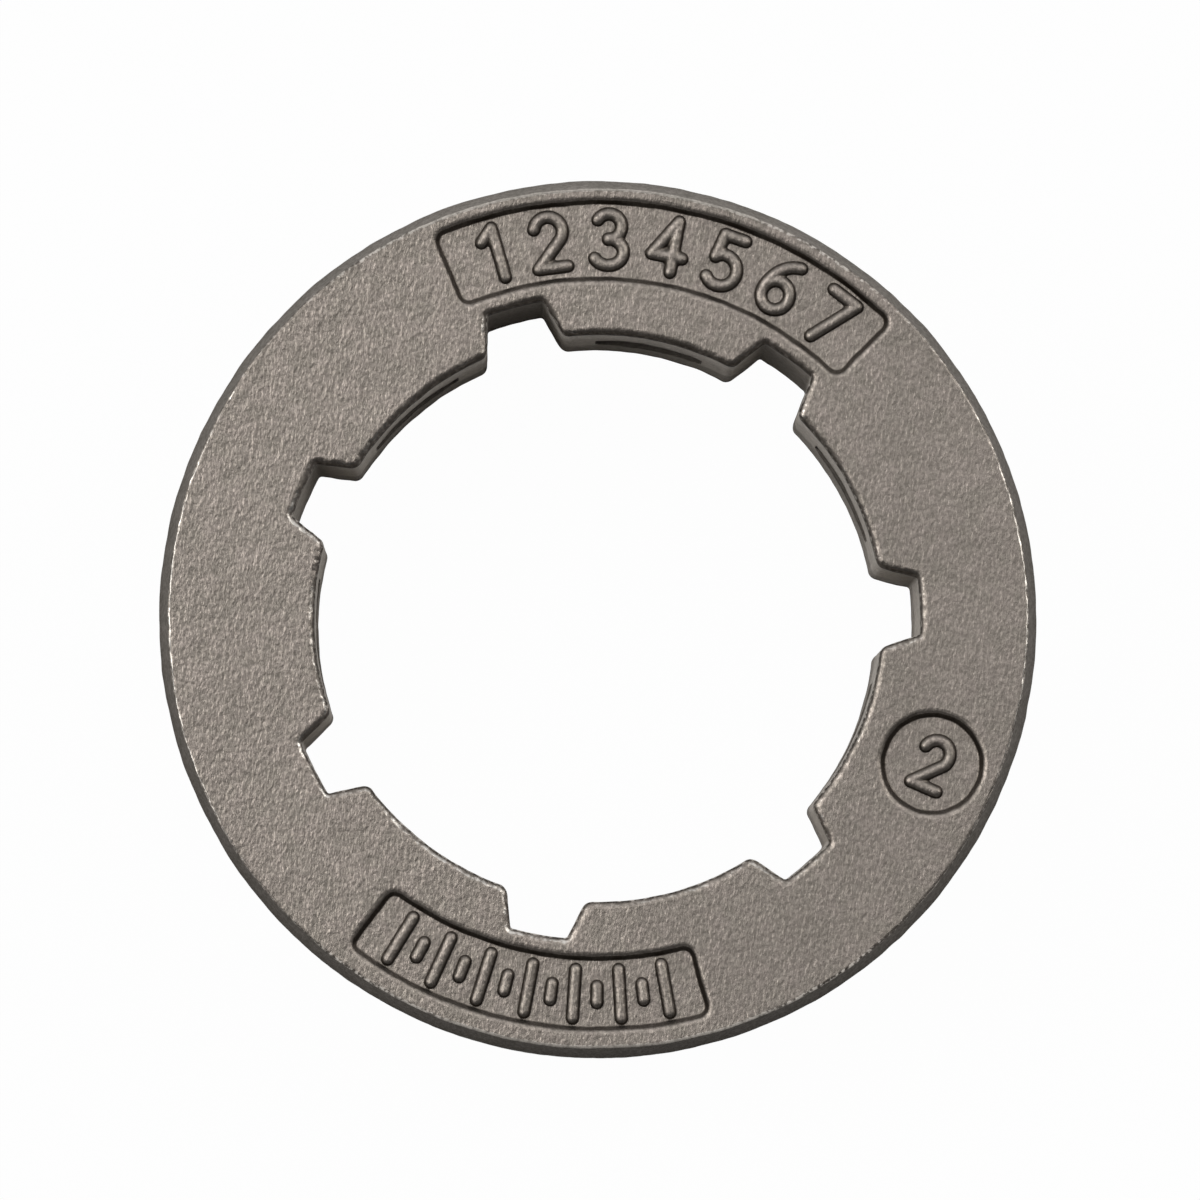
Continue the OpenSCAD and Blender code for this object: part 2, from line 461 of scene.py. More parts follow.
# Share of a round edge's turn that is rubbed, and how late on it the next stretch's finish starts
RUBBED_TURN = 0.7
SKIN_LATE = 3


def rub(part):
    """How worn a round edge is along its turn: most a little past its start."""
    return math.sin(math.pi * math.sqrt(min(1, part / RUBBED_TURN)))


def rounded(corners):
    """The corners as a profile, with each round one drawn as an arc."""
    stations = [corners[0]]
    for before, corner, after in zip(corners, corners[1:], corners[2:]):
        if corner.radius == 0:
            stations.append(corner)
            continue
        point = Vector((corner.inset, corner.height))
        back = (Vector((before.inset, before.height)) - point).normalized()
        ahead = (Vector((after.inset, after.height)) - point).normalized()
        half = back.angle(ahead) / 2
        centre = point + (back + ahead).normalized() * (corner.radius / math.sin(half))
        start = point + back * (corner.radius / math.tan(half)) - centre
        swing = math.pi - 2 * half
        side = 1 if ahead.cross(back) > 0 else -1
        for i in range(EDGE_STEPS + 1):
            part = i / EDGE_STEPS
            place = centre + Matrix.Rotation(side * swing * part, 2) @ start
            stations.append(corner._replace(
                inset=place.x,
                height=place.y,
                wear=corner.wear * rub(part),
                grime=corner.grime + (after.grime - corner.grime) * part ** SKIN_LATE,
                skin=before.skin + (after.skin - before.skin) * part ** SKIN_LATE,
            ))
    return stations + [corners[-1]]


def flipped(stations, top):
    """The same profile on the plain face's side, in reverse order."""
    return [station._replace(height=top - station.height) for station in reversed(stations)]


# Painted shade on the outer band, its shoulder, the lead-in to the groove and the groove itself
PAINTED_BAND_SHADE = 0.88
PAINTED_SHOULDER_SHADE = 0.93
PAINTED_LEAD_SHADE = 0.62
PAINTED_GROOVE_SHADE = 1.0
# Painted shade just below the edge of the bore, on the bore's far half and at its windows
PAINTED_MOUTH_SHADE = 1.05
PAINTED_LOWER_SHADE = 0.45
PAINTED_WINDOW_SHADE = 1.15
# Wear of the shoulder, the lead-in's two edges, the mouths of the bore and the lips of the recesses
SHOULDER_WEAR = 0.15
LEAD_WEAR = 0.5
LEAD_INNER_WEAR = 0.3
MOUTH_WEAR = 0.42
LIP_WEAR = 0.2
# How far from an edge, a lip or a foot the plain face or floor starts, in radii of its round
EDGE_FADE = 1.2
LIP_FADE = 0.6
FOOT_FADE = 2
# How far down the bevel its painted shade is full, as a share of its height
BEVEL_SHADE_REACH = 0.4
# How far down the bore the painted shade is full and its plain wall starts, in radii of the mouth's round
MOUTH_SHADE_REACH = 1.5
WALL_STARTS = 3


def rim_profile(rim, groove, layout):
    """From the marked face over the bevel and the rim into the groove."""
    top = layout.top
    high = layout.groove_high
    fade = rim.edge_round
    return rounded([
        Corner(rim.bevel_w + EDGE_FADE * fade, top, skin=0),
        Corner(rim.bevel_w, top, rim.edge_round, wear=1),
        # Painted shade down the bevel, over the shoulder and the lead-in, and into the groove
        Corner(rim.bevel_w * (1 - BEVEL_SHADE_REACH), top - rim.bevel_h * BEVEL_SHADE_REACH, grime=PAINTED_BAND_SHADE),
        Corner(0, top - rim.bevel_h, rim.shoulder_round, SHOULDER_WEAR, PAINTED_SHOULDER_SHADE),
        Corner(0, (top + high) / 2, grime=PAINTED_BAND_SHADE),
        Corner(0, high + groove.lead, groove.lead_round, LEAD_WEAR, PAINTED_LEAD_SHADE),
        Corner(groove.lead, high, groove.lead_round, LEAD_INNER_WEAR, PAINTED_LEAD_SHADE),
        Corner(groove.lead + fade, high, grime=PAINTED_GROOVE_SHADE),
    ])


def mouth_profile(bore, layout, low, wall_grime):
    """From the marked face over the edge of the bore and down its wall to a height."""
    top = layout.top
    mouth = bore.mouth_round
    wall_top = top - WALL_STARTS * mouth
    corners = [
        Corner(EDGE_FADE * mouth, top, skin=0),
        Corner(0, top, mouth, MOUTH_WEAR),
        # Painted shade just below the mouth's edge, and down the wall as far as asked
        Corner(0, top - MOUTH_SHADE_REACH * mouth, grime=PAINTED_MOUTH_SHADE),
    ]
    for i in range(WALL_STEPS):
        height = wall_top + (low - wall_top) * i / WALL_STEPS
        corners.append(Corner(0, height, grime=wall_grime))
    return rounded(corners)


def recess_profile(recess, layout):
    """From the marked face over a recess's lip and down its wall to the floor."""
    lean = recess.draft / 2
    floor = layout.recess_floor
    return rounded([
        Corner(lean + LIP_FADE * recess.lip_round, layout.top, skin=0),
        Corner(lean, layout.top, recess.lip_round, LIP_WEAR, skin=0),
        # Painted shade at the foot of the recess wall
        Corner(-lean, floor, recess.foot_round, grime=1, skin=0),
        Corner(-lean - FOOT_FADE * recess.foot_round, floor, skin=0),
    ])


# The casting's mesh

class Skin:
    """A closed mesh that grows ring by ring, with wear and painted highlight, painted shade and cast skin
    at each vertex.
    """

    def __init__(self):
        self.bm = bmesh.new()
        self.wear = self.bm.verts.layers.float.new("wear")
        self.grime = self.bm.verts.layers.float.new("grime")
        self.skin = self.bm.verts.layers.float.new("skin")

    def vertex(self, spot, station):
        """One vertex, moved from its spot into the metal as the station says."""
        place = spot.place + spot.metal * station.inset
        vert = self.bm.verts.new((place.x, place.y, station.height))
        vert[self.wear] = station.wear
        vert[self.grime] = station.grime
        vert[self.skin] = station.skin
        return vert

    def ring(self, spots, station):
        """A vertex for each spot."""
        return [self.vertex(spot, station) for spot in spots]

    def band(self, one, other, closed=True):
        """Faces between two rings, as triangles where the rings share a vertex."""
        for i in range(0 if closed else 1, len(one)):
            corners = list(dict.fromkeys((one[i - 1], one[i], other[i], other[i - 1])))
            if len(corners) > 2:
                self.bm.faces.new(corners)

    def sweep(self, spots, stations):
        """Rings along a profile with bands between them; gives the first and the last ring."""
        first = self.ring(spots, stations[0])
        last = first
        for station in stations[1:]:
            ring = self.ring(spots, station)
            self.band(last, ring)
            last = ring
        return first, last

    def fill(self, *rings):
        """Flat faces over the space that rings in one plane enclose."""
        edges = []
        for ring in rings:
            edges += [self.bm.edges.get((ring[i - 1], ring[i])) for i in range(len(ring))]
        bmesh.ops.triangle_fill(self.bm, edges=edges, use_beauty=True, normal=(0, 0, 1))


def round_window(skin, spots, edge_ring, groove_z, radius, up):
    """Turns a window's long edge over into the groove's wall, running out to nothing at both ends."""
    last = edge_ring
    for i in range(1, EDGE_STEPS + 1):
        swing = QUARTER * i / EDGE_STEPS
        ring = [edge_ring[0]]
        for j, spot in enumerate(spots):
            here = radius * window_fade(j, len(spots))
            inset = here * (1 - math.cos(swing))
            height = groove_z + up * here * (1 - math.sin(swing))
            # Painted shade on the window's rounded edge
            ring.append(skin.vertex(spot, Corner(inset, height, grime=PAINTED_GROOVE_SHADE)))
        ring.append(edge_ring[-1])
        skin.band(last, ring, closed=False)
        last = ring
    return last


def window_fade(index, count):
    """How full a window edge's round is at one of its spots."""
    along = (index + 1) / (count + 1)
    return math.sqrt(math.sin(math.pi * along))


def build_casting(settings, layout):
    """The whole casting: rim, faces, recesses, bore, windows and teeth."""
    skin = Skin()
    groove = settings.groove
    bore = settings.bore
    recess = settings.recess
    half_notch = notch_half(bore, layout)
    notch = joined(mirrored(half_notch), half_notch)
    half_tooth = tooth_half(groove, layout)
    tooth = joined(mirrored(half_tooth), half_tooth)[1:-1]
    window = turned(window_run(bore, layout), layout.half_step)
    loop = []
    for at in layout.notches:
        loop += turned(notch, at) + turned(window, at)

    # The rim above and below the groove
    rim_spots = arc(ORIGIN, layout.rim_r, 0, 2 * math.pi, RIM_STEPS, False)[:-1]
    upper_rim = rim_profile(settings.rim, groove, layout)
    face_edge, upper_mouth = skin.sweep(rim_spots, upper_rim)
    lower_mouth, back_edge = skin.sweep(rim_spots, flipped(upper_rim, layout.top))

    # The bore down to the windows from one face, and up to them from the other
    wall_end = layout.groove_high + groove.window_round
    upper_wall = mouth_profile(bore, layout, wall_end, 0)
    # The bore's far half gets painted shade
    lower_wall = flipped(mouth_profile(bore, layout, wall_end, PAINTED_LOWER_SHADE), layout.top)
    bore_edge, upper_last = skin.sweep(loop, upper_wall)
    lower_first, back_bore_edge = skin.sweep(loop, lower_wall)
    upper_ring = window_level(skin, loop, layout, groove, layout.groove_high, 1)
    lower_ring = window_level(skin, loop, layout, groove, layout.groove_low, -1)
    skin.band(upper_last, upper_ring)
    skin.band(lower_ring, lower_first)

    # Teeth from one flange to the other, and the windows between them
    # Painted shade on the groove's roof and floor
    roof = Corner(0, layout.groove_high, grime=PAINTED_GROOVE_SHADE)
    ground = Corner(0, layout.groove_low, grime=PAINTED_GROOVE_SHADE)
    upper_loop = []
    lower_loop = []
    stride = len(notch) + len(window)
    for i, at in enumerate(layout.notches):
        first = i * stride
        last = first + len(notch)
        outside = turned(tooth, at)
        uppers = upper_ring[first:last] + skin.ring(outside[::-1], roof)
        lowers = lower_ring[first:last] + skin.ring(outside[::-1], ground)
        build_tooth(skin, turned(notch, at), outside[::-1], uppers, lowers, layout)
        window_spots = turned(window, at)
        ends = (last - 1, (last + len(window)) % len(loop))
        for ring, z, up, flat in (
            (upper_ring, layout.groove_high, 1, upper_loop),
            (lower_ring, layout.groove_low, -1, lower_loop),
        ):
            edge = [ring[ends[0]]] + ring[last:last + len(window)] + [ring[ends[1]]]
            rolled = round_window(skin, window_spots, edge, z, groove.window_round, up)
            outer = uppers[len(notch):] if up > 0 else lowers[len(notch):]
            flat += outer[::-1] + rolled
    skin.fill(upper_mouth, upper_loop)
    skin.fill(lower_mouth, lower_loop)

    # The recesses and the two flat faces
    profile = recess_profile(recess, layout)
    lips = []
    for spots in recess_outlines(recess, layout):
        lip, floor_ring = skin.sweep(spots, profile)
        skin.fill(floor_ring)
        lips.append(lip)
    skin.fill(face_edge, bore_edge, *lips)
    skin.fill(back_edge, back_bore_edge)
    bmesh.ops.recalc_face_normals(skin.bm, faces=skin.bm.faces)
    return skin


def window_level(skin, loop, layout, groove, groove_z, up):
    """A ring round the bore at the groove's wall, lifted over each window by the round of its edge."""
    stride = len(loop) // len(layout.notches)
    over = WINDOW_STEPS - 1
    ring = []
    for i, spot in enumerate(loop):
        place = i % stride - (stride - over)
        fade = window_fade(place, over) if place >= 0 else 0
        lift = groove.window_round * fade
        # Painted shade round each window, fading out at its ends
        ring.append(skin.vertex(spot, Corner(0, groove_z + up * lift, grime=PAINTED_WINDOW_SHADE * fade)))
    return ring


def build_tooth(skin, bore_side, groove_side, uppers, lowers, layout):
    """The walls of one tooth, right round it, between the flanges."""
    last = uppers
    drop = layout.groove_high - layout.groove_low
    for i in range(1, TOOTH_STEPS):
        height = layout.groove_high - drop * i / TOOTH_STEPS
        ring = skin.ring(bore_side, Corner(0, height))
        # Painted shade on the groove side of the tooth
        ring += skin.ring(groove_side, Corner(0, height, grime=PAINTED_GROOVE_SHADE))
        skin.band(last, ring)
        last = ring
    skin.band(last, lowers)


def recess_outlines(recess, layout):
    """The outlines of the long panel, the short panel and the round recess."""
    middle = mark_spot(recess, layout)
    return (
        panel_outline(recess, layout, recess.long_at, recess.long_span, recess.long_rim),
        panel_outline(recess, layout, recess.short_at, recess.short_span, recess.short_rim),
        arc(middle, recess.mark_d / 2, 0, 2 * math.pi, MARK_STEPS)[:-1],
    )


# How much of the outer edge's wear and painted highlight is gone where it is least, and the painted shade
# that it has there
PAINTED_HIGHLIGHT_LOST = 0.95
PAINTED_EDGE_SHADE = 0.7
# How suddenly the outer edge loses its painted highlight and turns dull with painted shade, away from where
# it is brightest
PAINTED_HIGHLIGHT_POWER = 1.3
PAINTED_DULL_POWER = 4
# How much more painted shade the band below it has on its shaded side, and less on the other
BAND_SWING = 0.1
# Painted shade at the bottom of a notch that faces the shaded side, and round the mouth of the bore there
PAINTED_NOTCH_SHADE = 0.75
PAINTED_LIP_SHADE = 1.3
# How much brighter the painted highlight makes the mouths of the bore where they face its side
MOUTH_PAINTED_HIGHLIGHT = 1.6
# Depth to which a notch's walls are looked for, as a share of its own
DEEPEST = 1.3
# How much of a recess wall's painted shade is gone where it is least
PAINTED_SHADE_LOST = 0.6
# Seed of the wandering and the nicks, which makes each run give the same casting
WANDER_SEED = 7
# Share of the wandering that is slow, and how much shorter the waves of the rest are
SLOW_SHARE = 0.55
QUICK_RATE = 3.1
# Wear at which an edge's nicks are full
NICKED_WEAR = 0.5
# How far past a recess its walls are looked for
RECESS_REACH = 0.3 * MM
# Turn from one face to the next over which their edge stays sharp
SHARP_ANGLE = math.radians(40)


def ease_rim(skin, finish, layout):
    """Leaves the outer edge dull, with painted shade and little painted highlight, between the grain's deep
    and shallow sides, and its band's painted shade uneven.
    """
    for vert in skin.bm.verts:
        if vert.co.xy.length > layout.edge_r:
            across = abs(math.sin(angle_of(vert.co) - finish.grain_at))
            painted_dull = across ** PAINTED_DULL_POWER
            facing = vert.co.xy.normalized().dot(polar(finish.band_shade_at))
            # Painted shade on the band, heavier towards one side
            grime = vert[skin.grime] * (1 + BAND_SWING * facing)
            # Painted highlight taken off, and a dull finish and painted shade put on, away from the edge's
            # two brightest sides
            vert[skin.wear] *= 1 - PAINTED_HIGHLIGHT_LOST * across ** PAINTED_HIGHLIGHT_POWER
            vert[skin.skin] = max(vert[skin.skin], painted_dull)
            vert[skin.grime] = max(grime, PAINTED_EDGE_SHADE * painted_dull)


def darken_bore(skin, finish, bore, layout):
    """Paints shade in the bore on what faces the shaded side, and leaves less of it elsewhere."""
    skin.bm.normal_update()
    for vert in skin.bm.verts:
        deep = (vert.co.xy.length - bore.land_r) / bore.notch_depth
        facing = vert.normal.xy.dot(polar(finish.grime_at))
        # Painted shade on the upper bore, less on walls that face away from the shaded side
        if deep < DEEPEST and vert.co.z > layout.groove_high:
            vert[skin.grime] = one_sided(vert[skin.grime], vert.normal, finish)
        # More painted shade in the notches and round the mouth on what faces the shaded side
        if deep < DEEPEST and facing > 0:
            in_mouth = layout.top - vert.co.z < bore.mouth_round
            most = PAINTED_LIP_SHADE if in_mouth else PAINTED_NOTCH_SHADE * max(0, min(1, deep))
            vert[skin.grime] = max(vert[skin.grime], min(1, most * facing))


def paint_mouth_highlight(skin, finish, bore):
    """Paints highlights on the mouths of the bore, as more wear where they face the highlit side."""
    for vert in skin.bm.verts:
        facing = vert.normal.xy.dot(polar(finish.painted_highlight_at))
        if vert.co.xy.length < bore.land_r + DEEPEST * bore.notch_depth and facing > 0:
            # Painted highlight: more wear on the edges that face one side
            vert[skin.wear] *= 1 + MOUTH_PAINTED_HIGHLIGHT * facing


def one_sided(grime, normal, finish):
    """Painted shade on a wall, less the more it faces away from the shaded side."""
    away = max(0, -normal.xy.dot(polar(finish.grime_at)))
    return grime * (1 - PAINTED_SHADE_LOST * away)


def ease_recesses(skin, finish, layout):
    """Takes painted shade off the recess walls that face away from the shaded side."""
    for vert in skin.bm.verts:
        inside = layout.panel_inner_r - RECESS_REACH < vert.co.xy.length < layout.face_r
        if inside and vert.co.z > layout.recess_floor - RECESS_REACH:
            # Painted shade, less on the walls that face away from the shaded side
            vert[skin.grime] = one_sided(vert[skin.grime], vert.normal, finish)


def wander(skin, finish, layout):
    """Lets the casting's edges wander a little sideways, nicks the worn ones and draws the whole in."""
    noise.seed_set(WANDER_SEED)
    draw_in = 1 - finish.drift / layout.rim_r
    for vert in skin.bm.verts:
        slow = noise.noise_vector(vert.co / finish.drift_wave)
        quick = noise.noise_vector(vert.co * QUICK_RATE / finish.drift_wave)
        shift = (slow * SLOW_SHARE + quick * (1 - SLOW_SHARE)) * finish.drift
        worn = min(vert[skin.wear], NICKED_WEAR)
        nick = noise.noise_vector(vert.co / finish.nick_wave) * finish.nick * worn
        vert.co.x = vert.co.x * draw_in + shift.x + nick.x
        vert.co.y = vert.co.y * draw_in + shift.y + nick.y
        vert.co.z += math.copysign(abs(nick.z), layout.top / 2 - vert.co.z)


def add_piece(name, mesh, material):
    """Puts a mesh in the scene as a smooth piece that rides on the part's body."""
    mesh.materials.append(material)
    mesh.shade_smooth()
    piece = bpy.data.objects.new(name, mesh)
    bpy.context.scene.collection.objects.link(piece)
    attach(piece, CAD_BODY)
    return piece


# Raised marks, drawn as pen strokes in a box one unit high

# The number in the round recess
MOULD = 2
# Length of a short tick, as a share of a long one
SHORT_TICK = 1 / 3
# Wear of a mark at most, and how it rises with the height: its slope and what is taken off
MARK_WEAR = 0.2
WEAR_SLOPE = 3
WEAR_OFF = 2.6
# Painted shade round a mark's foot before the height takes it off, and how fast that does so
PAINTED_FOOT_SHADE = 3
FOOT_SLOPE = 3.2
# Rounds of smoothing after the strokes are fused
SOFTENINGS = 4


def pen_line(*points):
    """A straight stroke through points."""
    return [Vector(point) for point in points]


def pen_arc(centre, across, high, start, end):
    """A stroke along part of an ellipse, between two angles in degrees."""
    sweep = (end - start) / PEN_STEPS
    turns = [math.radians(start + sweep * i) for i in range(PEN_STEPS + 1)]
    return [Vector((centre[0] + across * math.cos(t), centre[1] + high * math.sin(t))) for t in turns]


NUMERALS = {
    1: [pen_line((0.1, 0.78), (0.36, 1)), pen_line((0.36, 1), (0.36, 0))],
    2: [
        pen_arc((0.3, 0.71), 0.28, 0.29, 165, -32),
        pen_line((0.54, 0.56), (0.03, 0)),
        pen_line((0.03, 0), (0.6, 0)),
    ],
    3: [pen_arc((0.28, 0.75), 0.25, 0.25, 150, -90), pen_arc((0.28, 0.25), 0.3, 0.26, 90, -150)],
    4: [
        pen_line((0.44, 1), (0.02, 0.3)),
        pen_line((0.02, 0.3), (0.62, 0.3)),
        pen_line((0.44, 1), (0.44, 0)),
    ],
    5: [
        pen_line((0.54, 1), (0.12, 1)),
        pen_line((0.12, 1), (0.08, 0.53)),
        pen_arc((0.27, 0.31), 0.31, 0.31, 128, -140),
    ],
    6: [pen_arc((0.31, 0.29), 0.28, 0.29, 0, 360), pen_arc((0.62, 0.29), 0.59, 0.71, 180, 100)],
    7: [pen_line((0.03, 1), (0.6, 1)), pen_line((0.6, 1), (0.22, 0))],
}
TICK = [pen_line((0, 0), (0, 1))]


def placed(strokes, middle, height, up):
    """Strokes at their real size, centred on a point, with their top towards an angle."""
    points = [point for stroke in strokes for point in stroke]
    centre = Vector((
        (min(p.x for p in points) + max(p.x for p in points)) / 2,
        (min(p.y for p in points) + max(p.y for p in points)) / 2,
    ))
    spin = Matrix.Rotation(up - QUARTER, 2)
    return [[middle + spin @ ((point - centre) * height) for point in stroke] for stroke in strokes]


def add_strokes(bm, strokes, marks, base):
    """Round-ended ridges along the strokes, as closed shells that run into each other."""
    half_w = marks.stroke_w / 2
    for stroke in strokes:
        rings = []
        for place, along, size in stroke_stations(stroke, half_w):
            aside = Vector((-along.y, along.x))
            ring = []
            for i in range(STROKE_SIDES):
                turn = 2 * math.pi * i / STROKE_SIDES
                spot = place + aside * (half_w * size * math.cos(turn))
                rise = marks.relief * size * math.sin(turn)
                ring.append(bm.verts.new((spot.x, spot.y, base + rise)))
            rings.append(ring)
        for one, other in zip(rings, rings[1:]):
            for i in range(STROKE_SIDES):
                bm.faces.new((one[i - 1], one[i], other[i], other[i - 1]))
        bm.faces.new(rings[0])
        bm.faces.new(reversed(rings[-1]))


def stroke_stations(stroke, half_w):
    """Places along a stroke with its direction and how full it is there, with both ends rounded off."""
    cap = [math.sin(QUARTER * (i + 0.5) / CAP_STEPS) for i in range(CAP_STEPS)]
    first = (stroke[1] - stroke[0]).normalized()
    last = (stroke[-1] - stroke[-2]).normalized()
    stations = []
    for size in cap:
        stations.append((stroke[0] - first * half_w * math.sqrt(1 - size * size), first, size))
    for i, place in enumerate(stroke):
        ahead = stroke[min(i + 1, len(stroke) - 1)]
        behind = stroke[max(i - 1, 0)]
        stations.append((place, (ahead - behind).normalized(), 1))
    for size in reversed(cap):
        stations.append((stroke[-1] + last * half_w * math.sqrt(1 - size * size), last, size))
    return stations


def melted(bm, name, melt):
    """The strokes fused into one soft skin, as a mould gives them."""
    rough = bpy.data.meshes.new(name + ".rough")
    bmesh.ops.recalc_face_normals(bm, faces=bm.faces)
    # The remesh takes no step under 0.0001 units, which is too coarse in metres, so it gets millimetres
    bmesh.ops.scale(bm, vec=Vector((1, 1, 1)) / MM, verts=bm.verts)
    bm.to_mesh(rough)
    bm.free()
    mould = bpy.data.objects.new(name + ".mould", rough)
    bpy.context.scene.collection.objects.link(mould)
    remesh = mould.modifiers.new("Melt", "REMESH")
    remesh.mode = "VOXEL"
    remesh.voxel_size = melt / MM
    remesh.use_smooth_shade = True
    smooth = mould.modifiers.new("Soften", "SMOOTH")
    smooth.iterations = SOFTENINGS
    graph = bpy.context.evaluated_depsgraph_get()
    mesh = bpy.data.meshes.new_from_object(mould.evaluated_get(graph))
    mesh.name = name
    mesh.transform(Matrix.Scale(MM, 4))
    bpy.data.objects.remove(mould)
    bpy.data.meshes.remove(rough)
    return mesh


def add_marks(name, strokes, settings, layout):
    """A piece with raised strokes, worn bright on top."""
    marks = settings.marks
    bm = bmesh.new()
    add_strokes(bm, strokes, marks, layout.recess_floor)
    mesh = melted(bm, name, marks.melt)
    wear = mesh.attributes.new("wear", "FLOAT", "POINT")
    grime = mesh.attributes.new("grime", "FLOAT", "POINT")
    for i, vert in enumerate(mesh.vertices):
        rise = (vert.co.z - layout.recess_floor) / marks.relief
        wear.data[i].value = max(0, min(MARK_WEAR, rise * WEAR_SLOPE - WEAR_OFF))
        # Painted shade round the foot of each stroke, less on its side away from the shaded side
        foot = max(0, min(1, PAINTED_FOOT_SHADE - rise * FOOT_SLOPE))
        grime.data[i].value = one_sided(foot, vert.normal, settings.finish)
    add_piece(name, mesh, blasted_steel(settings.finish))


# Materials

VALUE = "NodeSocketFloat"
VECTOR = "NodeSocketVector"
COLOUR = "NodeSocketColor"

# Values between which nearly all of a noise lies
NOISE_LOW = 0.25
NOISE_HIGH = 0.75
# How much longer than wide the grains are, as a share of their width
GRAIN_STRETCH = 0.95
# The coarse grain beside the fine one: how often it comes and how deep it is
COARSE_RATE = 0.37
COARSE_SHARE = 0.6
# Depth of the grain on its shallow side, as a share of the deepest
SHALLOW_SHARE = 0.6
# Patches to the metre in the rubbing of edges, and how much of them the grain breaks up
RUB_RATE = 1400.0
RUB_GRAIN = 0.3
# Rubbing, with its painted highlight, from which an edge starts to brighten, and where it is bright
RUB_STARTS = 0.05
RUB_FULL = 0.45
# How much of the grain rubbing takes off, and how much of the roughness
RUB_SMOOTH = 0.6
RUB_POLISH = 0.12
# Clouds to the metre in the colour of the steel, and how much they lighten and darken it
CLOUD_RATE = 260.0
CLOUD_SWING = 0.05
# Finer mottles to the metre, how much they lighten and darken it, and how far they turn its hue
MOTTLE_RATE = 1300.0
MOTTLE_SWING = 0.07
MOTTLE_HUE = 0.006
# How much finer than the grain the speckle of the colour is, and the tones of its two ends
SPECKLE_RATE = 1.7
SPECKLE_DARK = 0.8
SPECKLE_BRIGHT = 1.18
# How much rougher or smoother the speckle makes the steel
ROUGHNESS_SWING = 0.04
# Share of cast skin from which it shows, where it is full, and how far the speckle pushes that to and fro
SKIN_STARTS = 0.3
SKIN_FULL = 0.7
SKIN_RAGGED = 0.5
# How much rougher than the metal the cast skin is, and how much it shines
SKIN_ROUGHNESS = 0.3
SKIN_SHINE = 0.03
# How much of what lies under it full painted shade hides
PAINTED_SHADE_COVER = 0.85


class Graph:
    """Puts nodes in a tree and links them."""

    def __init__(self, tree):
        self.tree = tree

    def add(self, kind, inputs=None, **values):
        """A node with its values set and its inputs fixed or linked, by name or number."""
        node = self.tree.nodes.new(kind)
        for name, value in values.items():
            setattr(node, name, value)
        for key, value in (inputs or {}).items():
            if isinstance(value, bpy.types.NodeSocket):
                self.tree.links.new(value, node.inputs[key])
            else:
                node.inputs[key].default_value = value
        return node

    def group(self, name, wire, inputs, results):
        """The outputs of a new node group, which a function wires from what is given to what results."""
        tree = bpy.data.node_groups.new(name, "ShaderNodeTree")
        for label, (kind, value) in inputs.items():
            tree.interface.new_socket(label, in_out="INPUT", socket_type=kind)
        for label, kind in results.items():
            tree.interface.new_socket(label, in_out="OUTPUT", socket_type=kind)
        inside = Graph(tree)
        given = inside.add("NodeGroupInput").outputs
        inside.add("NodeGroupOutput", wire(inside, given))
        values = {label: value for label, (kind, value) in inputs.items()}
        return self.add("ShaderNodeGroup", values, node_tree=tree).outputs

    def math(self, operation, one, other=0.0, clamp=False):
        """The result of a sum of two values."""
        inputs = {0: one, 1: other}
        return self.add("ShaderNodeMath", inputs, operation=operation, use_clamp=clamp).outputs[0]

    def fit(self, value, low, high, to_low=0.0, to_high=1.0):
        """A value moved smoothly from one range to another."""
        inputs = {0: value, 1: low, 2: high, 3: to_low, 4: to_high}
        return self.add("ShaderNodeMapRange", inputs, interpolation_type="SMOOTHSTEP").outputs[0]

    def mix(self, factor, one, other):
        """A colour between two."""
        inputs = {0: factor, 6: one, 7: other}
        return self.add("ShaderNodeMix", inputs, data_type="RGBA").outputs[2]

    def noise(self, place, rate, detail, roughness=0.5):
        """A noise at a place, with so many waves to the metre."""
        inputs = {"Vector": place, "Scale": rate, "Detail": detail, "Roughness": roughness}
        return self.add("ShaderNodeTexNoise", inputs).outputs[0]

    def dot(self, one, other):
        """How far one vector reaches along another."""
        inputs = {0: one, 1: other}
        return self.add("ShaderNodeVectorMath", inputs, operation="DOT_PRODUCT").outputs["Value"]

    def scaled(self, vector, factor):
        """A vector made longer or shorter."""
        inputs = {0: vector, "Scale": factor}
        return self.add("ShaderNodeVectorMath", inputs, operation="SCALE").outputs[0]


def wire_grain(graph, given):
    """The fine grain of a blasted casting: its height and its speckle."""
    place = given["Place"]
    # Grains lie longer across the deep side's direction than along it
    along = graph.dot(place, given["Deep Side"])
    squeezed = graph.scaled(given["Deep Side"], graph.math("MULTIPLY", along, GRAIN_STRETCH))
    drawn = graph.add("ShaderNodeVectorMath", {0: place, 1: squeezed}, operation="ADD").outputs[0]
    rate = graph.math("DIVIDE", 1.0, given["Grain"])
    coarse_rate = graph.math("MULTIPLY", rate, COARSE_RATE)
    speckle_rate = graph.math("MULTIPLY", rate, SPECKLE_RATE)
    fine = graph.noise(drawn, rate, detail=3.0, roughness=0.58)
    coarse = graph.noise(place, coarse_rate, detail=1.0)
    speckles = graph.noise(place, speckle_rate, detail=2.0, roughness=0.6)
    both = graph.math("ADD", fine, graph.math("MULTIPLY", coarse, COARSE_SHARE))
    across = graph.math("DIVIDE", along, given["Fall"])
    depth = graph.fit(across, -0.5, 0.5, SHALLOW_SHARE, 1.0)
    return {
        "Height": graph.math("MULTIPLY", both, depth),
        "Speckle": graph.fit(speckles, NOISE_LOW, NOISE_HIGH),
    }


